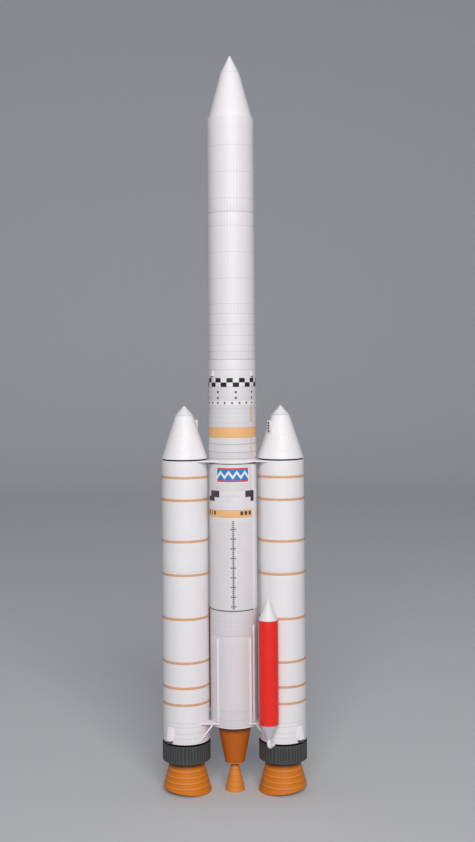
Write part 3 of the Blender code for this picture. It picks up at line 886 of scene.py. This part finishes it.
class ROCKET_OT_core_tubes(bpy.types.Operator):
    """Rolls the printed tubes and bands of the core"""

    bl_idname = "rocket.core_tubes"
    bl_label = "Core tubes"

    def execute(self, context):
        for node, finish, slot in CORE_TUBES:
            low, high = node_box(node)
            radius = (high[0] - low[0]) / 2
            make_piece(node, [rolled_cone((radius, radius), stack_ends(node))], [finish])
        bottom, top = stack_ends("core_tank_aft")
        disc = bottom + CORE_BASE_RECESS
        inner = CORE_RADIUS - CORE_WALL
        foot_ring = [(0, disc), (inner, disc), (inner, bottom), (CORE_RADIUS, bottom)]
        tube = rolled([*foot_ring, (CORE_RADIUS, top), (0, top)])
        foot = ends("core_conduit_front_right")[0]
        section = half_round_section()
        rods = [rail_shell(section, azimuth, foot, FEED_LINE_TOP, 1) for azimuth in FEED_LINE_AZIMUTHS]
        make_piece("core_tank_aft", [tube, *rods], ["aft tank card", "conduit card"])
        return {"FINISHED"}


class ROCKET_OT_core_nose(bpy.types.Operator):
    """Rolls the two cones of the core's nose"""

    bl_idname = "rocket.core_nose"
    bl_label = "Core nose"

    def execute(self, context):
        wide, joint, tip = NOSE_RADII
        cone = rolled_cone((wide, joint), stack_ends("core_nose_cone"))
        cap = rolled_cone((joint, tip), ends("core_nose_tip"))
        make_piece("core_nose_cone", [cone], ["white card"])
        make_piece("core_nose_tip", [cap], ["white card"])
        return {"FINISHED"}


class ROCKET_OT_adapter(bpy.types.Operator):
    """Rolls the checked adapter and stands its four wedges on it"""

    bl_idname = "rocket.adapter"
    bl_label = "Adapter"

    def execute(self, context):
        tube = rolled_cone((ADAPTER_RADIUS, ADAPTER_RADIUS), stack_ends("core_adapter"))
        wedge = fin(ADAPTER_WEDGE, ADAPTER_WEDGE_WIDTH)
        wedges = [wedge.turned_to(azimuth) for azimuth in ADAPTER_WEDGE_AZIMUTHS]
        make_piece("core_adapter", [tube, *wedges], ["adapter card"])
        return {"FINISHED"}


class ROCKET_OT_core_rails(bpy.types.Operator):
    """Glues the half-round conduits and the flat raceways up the core"""

    bl_idname = "rocket.core_rails"
    bl_label = "Core rails"

    def execute(self, context):
        kinds = (
            ("core_conduit_", CONDUITS, half_round_section(), "conduit card"),
            ("core_raceway_", RACEWAYS, flat_section(), "raceway card"),
        )
        for kind, places, section, finish in kinds:
            for end, azimuth in places:
                make_piece(kind + end, [rail_shell(section, azimuth, *ends(kind + end))], [finish])
        return {"FINISHED"}


# Nozzles, and the core's engine

SHROUD_RADII = (6.5, 11.8)
SHROUD_RECESS = 2.5
SHROUD_WALL = 0.4
CORE_NOZZLE = {
    "rim": 6.5, "slope": 0.235, "laps": (14.4, 10.6, 7.0, 3.5), "stand": 0.12, "wall": 0.5, "ceiling": 13.0
}
BOOSTER_NOZZLE = {
    "rim": 16.45, "slope": 0.275, "laps": (15.5, 11.8, 8.4, 5.0), "stand": 0.25, "wall": 0.6, "ceiling": 18.0
}
NOZZLE_RISE = 3.6
CORE_NOZZLE_SIDES = 96


def bell_profile(bell, top):
    """A bell's profile from its top down the lapped outside (finish 0), round the rim and up inside (1)."""
    rim, slope, ceiling = bell["rim"], bell["slope"], bell["ceiling"]
    inner = rim - bell["wall"]
    corners = [(0, top, 0), (rim - slope * top, top, 0)]
    for height in bell["laps"]:
        radius = rim - slope * height
        corners += [(radius + bell["stand"], height, 0), (radius, height - 0.05, 0)]
    corners += [(rim, 0, 0), (inner, 0, 1), (inner - slope * ceiling, ceiling, 1), (0, ceiling, 1)]
    return spaced(soften(corners, 0.09, 2), 1.5)


def slanted(shell, bell):
    """Cuts a bell's rim at a slant, low towards the core.

    The cutting plane rises from 0 at -X to NOZZLE_RISE at +X. With k its rise over its run, s the slope
    and R the rim's radius, a point of radius q at cosine c meets it at h = k (R + q c) / (1 + k s c).
    Points below the lowest lap, z < L, move up the cone to h + z (1 - h/L).
    """
    rim, slope, limit = bell["rim"], bell["slope"], bell["laps"][-1] - 0.1
    x, y, z = shell.grid.transpose(2, 0, 1)
    reach = np.maximum(np.hypot(x, y), 1e-9)
    rise = NOZZLE_RISE / (2 * rim - slope * NOZZLE_RISE)
    cosine = x / reach
    cut = rise * (rim + reach * cosine) / (1 + rise * slope * cosine)
    lift = np.where(z < limit, cut * (1 - z / limit), 0)
    share = 1 - slope * lift / reach
    return Shell(np.stack([x * share, y * share, z + lift], axis=-1), shell.finish)


class ROCKET_OT_engine(bpy.types.Operator):
    """Rolls the core's engine shroud and its lapped nozzle"""

    bl_idname = "rocket.engine"
    bl_label = "Core engine"

    def execute(self, context):
        bottom, top = ends("core_engine_shroud")
        top += GLUE_GAP
        ceiling = bottom + SHROUD_RECESS
        narrow, wide = SHROUD_RADII
        inner = narrow - SHROUD_WALL
        mouth = [(0, ceiling), (inner + 0.3, ceiling), (inner, bottom), (narrow, bottom)]
        cone = rolled([*mouth, (wide, top), (0, top)])
        make_piece("core_engine_shroud", [cone], ["shroud card"])
        bell = turned(bell_profile(CORE_NOZZLE, ceiling), CORE_NOZZLE_SIDES, lap=0.1)
        make_piece("core_nozzle", [bell], ["core nozzle card", "rim card"])
        return {"FINISHED"}


class ROCKET_OT_booster_nozzles(bpy.types.Operator):
    """Rolls the boosters' lapped nozzles, cut off at a slant"""

    bl_idname = "rocket.booster_nozzles"
    bl_label = "Booster nozzles"

    def execute(self, context):
        top = ends("right_booster_nozzle")[1] + GLUE_GAP - 0.02
        bell = turned(bell_profile(BOOSTER_NOZZLE, top), seam=CORE_SIDE, lap=0.12)
        make_both("_nozzle", [slanted(bell, BOOSTER_NOZZLE)], ["nozzle card", "rim card"])
        return {"FINISHED"}


# Pieces of the boosters

BOOSTER_RADIUS = 15.4
CASE_STRIPS = {
    "left_booster": (60.1, 71.2, 87.5, 116.1, 144.8, 166.7, 193.6, 208.5),
    "right_booster": (60.9, 71.5, 87.9, 116.1, 145.1, 166.7, 193.9, 208.5),
}
STRIP_WIDTH = 1.6
STRIP_STAND = 0.12
STRIP_SINK = 0.03
STRIP_LAP_RISE = 0.1
STRIP_LAP_AZIMUTHS = (-70, -84, -62, -95, -76, -58, -90, -66)
NECK_RADIUS = 14.6
NECK_HEIGHT = 0.7
NOSE_JOINT_RADIUS = 5.85
NOSE_TIP_RADIUS = 0.35
NOSE_BOX_AZIMUTH = -47
NOSE_BOX_REACH = 10.6
NOSE_BOX_TOE_REACH = 10.2
NOSE_BOX_WIDTH = 3.6
NOSE_BOX_TOP = 245.2
RIVET_HEIGHTS = (243.5, 241.7, 239.9, 238.1)
RIVET_RADIUS = 0.72
RIVET_SHIFT = -0.75


class ROCKET_OT_booster_noses(bpy.types.Operator):
    """Rolls the boosters' nose cones and folds the boxes on their slopes"""

    bl_idname = "rocket.booster_noses"
    bl_label = "Booster noses"

    def execute(self, context):
        foot, joint = stack_ends("right_booster_nose_cone")
        tip = ends("right_booster_nose_tip")[1]
        base = foot + NECK_HEIGHT
        cone = rolled(
            [
                (0, foot - 0.2, 1), (NECK_RADIUS, foot - 0.2, 1), (NECK_RADIUS, base, 1),
                (BOOSTER_RADIUS, base, 0), (NOSE_JOINT_RADIUS, joint, 0), (0, joint, 0),
            ],
            CORE_SIDE,
        )
        cap = rolled_cone((NOSE_JOINT_RADIUS, NOSE_TIP_RADIUS), (joint + 0.05, tip), CORE_SIDE)
        make_both("_nose_cone", [cone], ["booster nose card", "black card"])
        make_both("_nose_tip", [cap], ["white card"])
        make_both("_nose_box", self.box_shells(base, joint), ["white card", "rivet paint"])
        return {"FINISHED"}

    def box_shells(self, base, joint):
        """The wedge whose back follows the cone, and four flat round rivets on its outer face."""
        slope = (BOOSTER_RADIUS - NOSE_JOINT_RADIUS) / (joint - base)
        top_inner = BOOSTER_RADIUS - slope * (NOSE_BOX_TOP - base) - 0.1
        toe = base + (BOOSTER_RADIUS - NOSE_BOX_TOE_REACH) / slope
        outline = [
            (top_inner, NOSE_BOX_TOP), (NOSE_BOX_TOE_REACH - 0.1, toe),
            (NOSE_BOX_TOE_REACH, toe + 0.1), (NOSE_BOX_REACH, NOSE_BOX_TOP),
        ]
        shells = [fin(outline, NOSE_BOX_WIDTH)]
        for height in RIVET_HEIGHTS:
            face = np.interp(height, (toe, NOSE_BOX_TOP), (NOSE_BOX_TOE_REACH, NOSE_BOX_REACH))
            path = straight((RIVET_SHIFT, 0.05 - face, height), (RIVET_SHIFT, -0.1 - face, height))
            shells.append(swept(circle(RIVET_RADIUS, 16), path, (1, 0, 0), 0.05, 1))
        return [shell.turned_to(NOSE_BOX_AZIMUTH) for shell in shells]


def strip_shell(height, lap_azimuth):
    """A thin strip wound a little more than once round the case.

    Its path is a ring of 366 degrees; the radius rises by STRIP_LAP_RISE over the lapped end, and the
    height drifts as two sine waves, 0.10 and 0.05 mm high, like a strip glued by hand.
    """
    past = np.linspace(0, 366, 130)
    azimuth = np.radians(lap_azimuth + past)
    radius = BOOSTER_RADIUS + STRIP_STAND / 2 - STRIP_SINK
    radius = radius + STRIP_LAP_RISE * np.clip((past - 357) / 4, 0, 1)
    drift = 0.10 * np.sin(azimuth + height) + 0.05 * np.sin(2 * azimuth + 1.7 * height)
    path = placed_round(radius, azimuth, height + drift)
    half, thick = STRIP_WIDTH / 2, STRIP_STAND / 2 + STRIP_SINK
    section = soften([(-half, -thick), (half, -thick), (half, thick), (-half, thick)], 0.05, 2, closed=True)
    return swept(section, path, (0, 0, 1), 0.03, 1)


class ROCKET_OT_booster_cases(bpy.types.Operator):
    """Rolls the boosters' motor tubes and winds the thin orange strips round them"""

    bl_idname = "rocket.booster_cases"
    bl_label = "Booster cases"

    def execute(self, context):
        for part, ends_of in (("_case_aft", stack_ends), ("_case_forward", ends)):
            bottom, top = ends_of("right_booster" + part)
            tube = rolled_cone((BOOSTER_RADIUS, BOOSTER_RADIUS), (bottom, top), CORE_SIDE)
            for booster, way in BOOSTER_TURNS:
                strips = [
                    strip_shell(height, lap_azimuth)
                    for height, lap_azimuth in zip(CASE_STRIPS[booster], STRIP_LAP_AZIMUTHS)
                    if bottom < height < top
                ]
                placed = [shell.moved(x=BOOSTER_OFFSET).half_round(way) for shell in (tube, *strips)]
                make_piece(booster + part, placed, ["booster card", "strip card"])
        return {"FINISHED"}


SKIRT_RADIUS = 15.9
SKIRT_WALL = 0.7
SKIRT_NECK_RADIUS = 14.8
SKIRT_TOP = 33.2
SKIRT_RECESS = 3.2
SKIRT_RIBS = 46
RIB_DEPTH = 0.34


def ribbed(shell, bottom, top):
    """Presses ribs into a skirt's outside.

    Between its rims a point of the outer wall moves in by RIB_DEPTH times 0.5 - 0.5 tanh(2.5 w), where
    w is a sine wave that repeats SKIRT_RIBS times round, with a phase that drifts: the ribs are uneven.
    """
    x, y, z = shell.grid.transpose(2, 0, 1)
    reach = np.hypot(x, y)
    azimuth = np.arctan2(x, -y)
    wave = np.sin(SKIRT_RIBS * azimuth + 1.1 * np.sin(5 * azimuth) + 0.7 * np.sin(11 * azimuth + 1))
    depth = RIB_DEPTH * (0.5 - 0.5 * np.tanh(2.5 * wave))
    outside = (reach > SKIRT_RADIUS - 0.5) & (z > bottom + 0.3) & (z < top - 0.3)
    share = np.where(outside, 1 - depth / np.maximum(reach, 1), 1)
    return Shell(np.stack([x * share, y * share, z], axis=-1), shell.finish)


class ROCKET_OT_booster_skirts(bpy.types.Operator):
    """Presses the boosters' ribbed grey skirts, with their black necks"""

    bl_idname = "rocket.booster_skirts"
    bl_label = "Booster skirts"

    def execute(self, context):
        bottom, neck = stack_ends("right_booster_skirt")
        ceiling, inner = bottom + SKIRT_RECESS, SKIRT_RADIUS - SKIRT_WALL
        corners = [
            (0, ceiling, 0), (inner, ceiling, 0), (inner, bottom, 0), (SKIRT_RADIUS, bottom, 0),
            (SKIRT_RADIUS, SKIRT_TOP, 0), (SKIRT_RADIUS - 0.15, SKIRT_TOP, 1),
            (SKIRT_NECK_RADIUS, SKIRT_TOP, 1), (SKIRT_NECK_RADIUS, neck, 1), (0, neck, 1),
        ]
        profile = spaced(soften(corners, sizes()["edge_round"]), 1.6)
        shell = ribbed(turned(profile, SKIRT_RIBS * 10), bottom, SKIRT_TOP)
        make_both("_skirt", [shell], ["skirt card", "black card"])
        return {"FINISHED"}


HEELS = (("front", 43.5), ("back", 140))
HEEL_WIDTH = 3.7
HEEL_TOP_DEPTH = 0.4
HEEL_FOOT_DEPTH = 2.2


class ROCKET_OT_heels(bpy.types.Operator):
    """Folds the hold-down wedges low on the boosters"""

    bl_idname = "rocket.heels"
    bl_label = "Hold-down wedges"

    def execute(self, context):
        bottom, top = ends("right_booster_heel_front")
        near, sunk = BOOSTER_RADIUS + GLUE_GAP, BOOSTER_RADIUS - 0.4
        foot = [(sunk, bottom), (near + HEEL_FOOT_DEPTH, bottom)]
        wedge = fin([*foot, (near + HEEL_TOP_DEPTH, top), (sunk, top)], HEEL_WIDTH)
        for end, azimuth in HEELS:
            make_both("_heel_" + end, [wedge.turned_to(azimuth)], ["heel card"])
        return {"FINISHED"}


TANK_AZIMUTH = -26
TANK_RADIUS = 6.4
TANK_STAND_OFF = BOOSTER_RADIUS + 0.1 + GLUE_GAP + TANK_RADIUS
TANK_CONE_RADIUS = 6.2
TANK_TIP_RADIUS = 0.3
TANK_TAIL_RADIUS = 1.7
PIPE_RADIUS = 1.45
PIPE_HEIGHT = 34.2
PIPE_BEND = 2.4


def pipe_route():
    """Down from the tank's tail, round a quarter bend and in to the booster's skirt, at the front."""
    start = ends("right_booster_tank_tail")[0] + 0.6
    inner, turn_height = TANK_STAND_OFF - PIPE_BEND, PIPE_HEIGHT + PIPE_BEND
    down = straight((TANK_STAND_OFF, start), (TANK_STAND_OFF, turn_height), 5)
    bend = quarter_round(inner, turn_height, PIPE_BEND, 12)
    run_in = straight((inner, PIPE_HEIGHT), (SKIRT_RADIUS - 0.2, PIPE_HEIGHT), 6)
    route = np.vstack([down, bend[1:], run_in[1:]])
    return np.stack([0 * route[:, 0], -route[:, 0], route[:, 1]], axis=-1)


class ROCKET_OT_side_tanks(bpy.types.Operator):
    """Rolls the slim side tanks, with their cones and bent pipes"""

    bl_idname = "rocket.side_tanks"
    bl_label = "Side tanks"

    def execute(self, context):
        body = stack_ends("right_booster_tank_body")
        nose = (body[1] + 0.06, ends("right_booster_tank_nose")[1])
        tail = stack_ends("right_booster_tank_tail")
        stacked = (
            ("_tank_body", (TANK_RADIUS, TANK_RADIUS), body, "red card", "red_card"),
            ("_tank_nose", (TANK_CONE_RADIUS, TANK_TIP_RADIUS), nose, "white card", "white_card"),
            ("_tank_tail", (TANK_TAIL_RADIUS, TANK_CONE_RADIUS), tail, "tail card", "white_card"),
        )
        for part, radii, span, finish, slot in stacked:
            shell = rolled_cone(radii, span).moved(y=-TANK_STAND_OFF).turned_to(TANK_AZIMUTH)
            make_both(part, [shell], [finish])
        pipe = swept(circle(PIPE_RADIUS, 24), pipe_route(), (1, 0, 0), 0.1).turned_to(TANK_AZIMUTH)
        make_both("_tank_pipe", [pipe], ["white card"])
        return {"FINISHED"}


# Ties between the core and the boosters

TIE_EDGE = 12.8
TIE_TIP = 4.6
TIE_SINK = 0.15
BRACE_RADIUS = 0.6
BRACE_HEAD = (14.6, 12.3)
BRACE_FOOT_X = 22.8
BRACE_FOOT_HEIGHT = 36.1


def tie_shell(bottom, top, face):
    """A tie plate at the right booster, ruled between the two tubes it touches.

    At depth d from the plane through the axes it reaches from the core's circle to the booster's, so a
    row is the softened outline of a plate's cut, stretched between those two circles.
    """
    depth = np.linspace(TIE_EDGE, TIE_TIP, 22)
    from_core = np.sqrt((CORE_RADIUS - TIE_SINK) ** 2 - depth**2)
    from_booster = BOOSTER_OFFSET - np.sqrt((BOOSTER_RADIUS - TIE_SINK) ** 2 - depth**2)
    height = top - bottom
    cut = soften([(0, 0), (1, 0), (1, 1), (0, 1)], 0.16, 2, closed=True)
    inset = np.concatenate([[1.0, 0.3], np.zeros(len(depth) - 4), [0.3, 1.0]])
    tall = (height - 0.3 * inset)[:, None]
    x = from_core[:, None] + cut[None, :, 0] * (from_booster - from_core)[:, None]
    z = bottom + height / 2 + tall * (cut[None, :, 1] - 0.5)
    y = face * depth[:, None] + 0 * z
    grid = np.stack([x, y, z], axis=-1)
    caps = grid[[0, -1]].mean(axis=1, keepdims=True) + 0 * grid[[0, -1]]
    return Shell(np.concatenate([caps[:1], grid, caps[1:]]))


def brace_shell(face):
    """A round rod from under the right booster's aft tie plate down to its case."""
    reach = BOOSTER_RADIUS + BRACE_RADIUS * 0.8
    foot_y = math.sqrt(reach**2 - (BOOSTER_OFFSET - BRACE_FOOT_X) ** 2)
    head_z = ends("tie_aft_right_front")[0] - BRACE_RADIUS * 0.8
    head = (BRACE_HEAD[0], face * BRACE_HEAD[1], head_z)
    foot = (BRACE_FOOT_X, face * foot_y, BRACE_FOOT_HEIGHT)
    return swept(circle(BRACE_RADIUS, 20), straight(head, foot, 6), (0, 1, 0))


class ROCKET_OT_ties(bpy.types.Operator):
    """Cuts the tie plates between the core and the boosters, and sets the brace rods under them"""

    bl_idname = "rocket.ties"
    bl_label = "Ties and braces"

    def execute(self, context):
        for side, way in (("right", 1), ("left", -1)):
            for end, face in (("front", -1), ("back", 1)):
                place = side + "_" + end
                for level in ("forward", "aft"):
                    node = "tie_" + level + "_" + place
                    plate = tie_shell(*ends(node), face).half_round(way)
                    make_piece(node, [plate], ["tie card"], form="plate")
                make_piece("brace_" + place, [brace_shell(face).half_round(way)], ["tie card"], form="rod")
        return {"FINISHED"}


# The studio

STUDIO_RADIUS = 2600.0
COVE_RADIUS = 900.0
STUDIO_HEIGHT = 2400.0
FLOOR_DROP = 0.02
PHOTO_ROWS = 842.0
HORIZON_ROW = 358.0
CAMERA_X = 3.75
CAMERA_ROLL = 0.45
KEY_PLACE = (0.13, -1.5, 0.93)
KEY_AIM = (0.0, 0.0, 0.5)
KEY_WIDTH = 1.2
KEY_HEIGHT = 0.8
KEY_SPREAD = 100.0
KEY_COLOUR = (1.0, 0.985, 0.975)
AIR_COLOUR = (0.93, 0.95, 1.0, 1.0)


class ROCKET_OT_studio(bpy.types.Operator):
    """Sets the pale floor, which rises in a cove all round, the soft lights and the camera"""

    bl_idname = "rocket.studio"
    bl_label = "Studio"

    def execute(self, context):
        scene = context.scene
        scene.view_settings.view_transform = "Standard"
        self.add_floor()
        self.add_lights(scene, scene.rocket_studio)
        self.add_camera(scene, scene.rocket_studio)
        return {"FINISHED"}

    def add_floor(self):
        """The floor's profile: a wall, a quarter round, and the flat, turned about Z."""
        inner = STUDIO_RADIUS - COVE_RADIUS
        cove = quarter_round(inner, COVE_RADIUS, COVE_RADIUS, 24)
        flat = straight((inner, 0), (0, 0), 20)[1:]
        profile = np.vstack([[(STUDIO_RADIUS, STUDIO_HEIGHT)], cove, flat])
        floor = mesh_object("studio_floor", [turned(profile, 96).moved(z=-FLOOR_DROP)], ["studio paper"])
        if floor.data.polygons[-1].normal.z < 0:
            floor.data.flip_normals()

    def add_lights(self, scene, studio):
        """One large soft light in front, high and a little to the right, and the pale open top as fill."""
        light = bpy.data.lights.new("key light", "AREA")
        light.shape = "RECTANGLE"
        light.size = KEY_WIDTH
        light.size_y = KEY_HEIGHT
        light.spread = math.radians(KEY_SPREAD)
        light.energy = studio.key_watts
        light.color = KEY_COLOUR
        key = bpy.data.objects.new("key light", light)
        scene.collection.objects.link(key)
        key.location = KEY_PLACE
        key.rotation_mode = "QUATERNION"
        aim = key.location.copy()
        aim.x, aim.y, aim.z = (a - b for a, b in zip(KEY_AIM, KEY_PLACE))
        key.rotation_quaternion = aim.to_track_quat("-Z", "Y")
        key.visible_camera = False
        world = bpy.data.worlds.new("studio air")
        world.use_nodes = True
        back = world.node_tree.nodes["Background"]
        back.inputs["Color"].default_value = AIR_COLOUR
        back.inputs["Strength"].default_value = studio.fill
        scene.world = world

    def add_camera(self, scene, studio):
        """A level camera: its frame is shifted down so that the horizon lies above the middle."""
        camera = bpy.data.cameras.new("camera")
        camera.lens = studio.lens
        camera.sensor_width = 36.0
        camera.shift_y = HORIZON_ROW / PHOTO_ROWS - 0.5
        camera.dof.use_dof = False
        holder = bpy.data.objects.new("camera", camera)
        holder.location = (CAMERA_X * MM, -studio.camera_distance, studio.camera_height)
        holder.rotation_euler = (math.pi / 2, math.radians(CAMERA_ROLL), 0)
        scene.collection.objects.link(holder)
        scene.camera = holder


class ROCKET_PT_panel(bpy.types.Panel):
    """Buttons for each group of pieces, and the card's sizes and inks"""

    bl_idname = "ROCKET_PT_panel"
    bl_label = "Card launch rocket"
    bl_space_type = "VIEW_3D"
    bl_region_type = "UI"
    bl_category = "Rocket"

    def draw(self, context):
        for operator in OPERATORS:
            self.layout.operator(operator.bl_idname)
        for name, group in GROUPS.items():
            column = self.layout.column(align=True)
            for key in group.__annotations__:
                column.prop(getattr(context.scene, name), key)


OPERATORS = (
    ROCKET_OT_core_tubes,
    ROCKET_OT_core_nose,
    ROCKET_OT_adapter,
    ROCKET_OT_core_rails,
    ROCKET_OT_engine,
    ROCKET_OT_booster_noses,
    ROCKET_OT_booster_cases,
    ROCKET_OT_booster_skirts,
    ROCKET_OT_booster_nozzles,
    ROCKET_OT_heels,
    ROCKET_OT_side_tanks,
    ROCKET_OT_ties,
    ROCKET_OT_studio,
)
GROUPS = {"rocket_sizes": RocketSizes, "rocket_inks": RocketInks, "rocket_studio": RocketStudio}
CLASSES = (*GROUPS.values(), *OPERATORS, ROCKET_PT_panel)


def register():
    """Registers the classes and hangs the property groups on the scene."""
    for item in CLASSES:
        bpy.utils.register_class(item)
    for name, group in GROUPS.items():
        setattr(bpy.types.Scene, name, bpy.props.PointerProperty(type=group))


def unregister():
    """Takes back what register() did."""
    for name in GROUPS:
        delattr(bpy.types.Scene, name)
    for item in reversed(CLASSES):
        bpy.utils.unregister_class(item)


def main():
    register()
    bpy.ops.rocket.core_tubes()
    bpy.ops.rocket.core_nose()
    bpy.ops.rocket.adapter()
    bpy.ops.rocket.core_rails()
    bpy.ops.rocket.engine()
    bpy.ops.rocket.booster_noses()
    bpy.ops.rocket.booster_cases()
    bpy.ops.rocket.booster_skirts()
    bpy.ops.rocket.booster_nozzles()
    bpy.ops.rocket.heels()
    bpy.ops.rocket.side_tanks()
    bpy.ops.rocket.ties()
    bpy.ops.rocket.studio()


if __name__ == "__main__":
    main()
